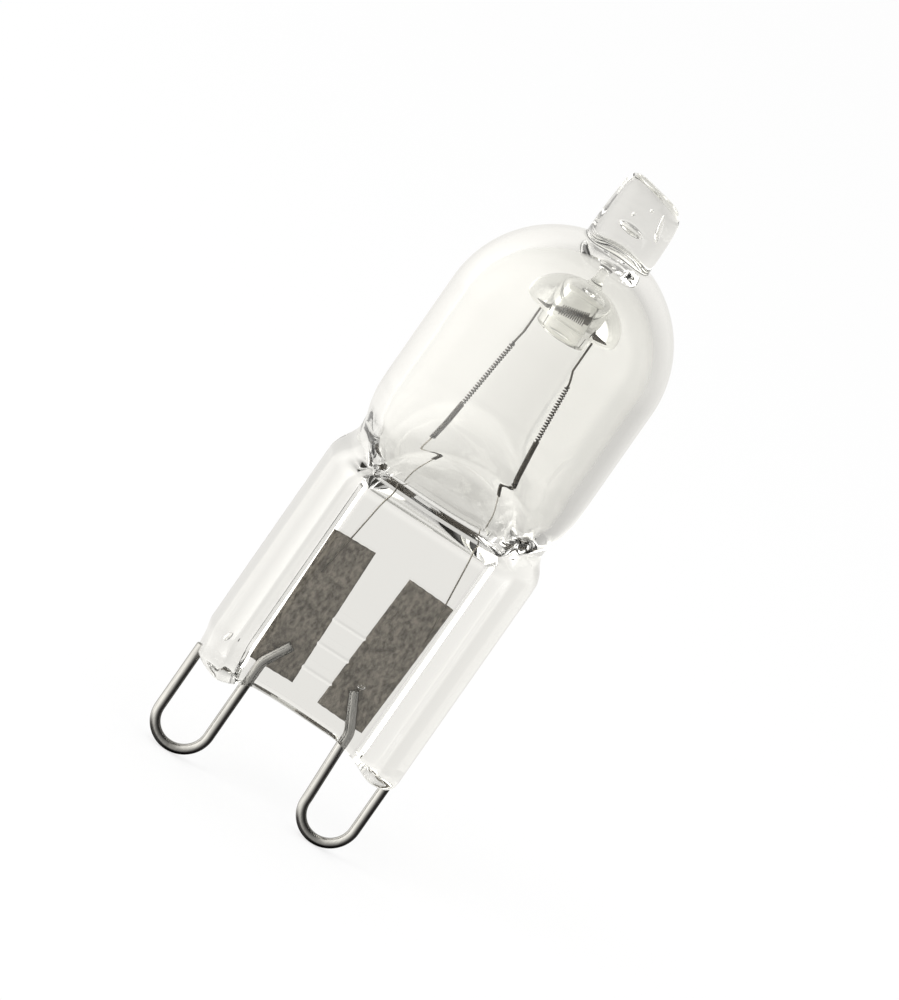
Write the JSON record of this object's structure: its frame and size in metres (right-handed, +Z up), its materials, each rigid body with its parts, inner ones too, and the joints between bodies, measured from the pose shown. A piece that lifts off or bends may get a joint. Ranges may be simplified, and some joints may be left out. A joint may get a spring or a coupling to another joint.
{
  "type": "halogen capsule bulb",
  "caption": "Clear halogen capsule bulb with a flat pinch seal, a coiled filament hung over a glass stub and wire loop contacts.",
  "frame": {"origin": "midway between the two loop contacts, level with their lowest point", "axes": "+Z up the bulb's axis from the loops to the exhaust tip, +X across the two loops to the right as the picture shows it, +Y away from the viewer through the flat seal"},
  "size_m": [0.0132, 0.013, 0.0409],
  "materials": {
    "quartz": "clear",
    "tungsten": "dark, close-wound",
    "molybdenum_wire": "drawn",
    "molybdenum_foil": "rolled, slightly streaked",
    "nickel_wire": "bright drawn"
  },
  "bodies": {
    "root": {"envelope": "quartz", "filament": "tungsten", "inner_lead_left": "molybdenum_wire", "inner_lead_right": "molybdenum_wire", "foil_left": "molybdenum_foil", "foil_right": "molybdenum_foil", "contact_pin_left": "nickel_wire", "contact_pin_right": "nickel_wire"}
  },
  "joints": []
}
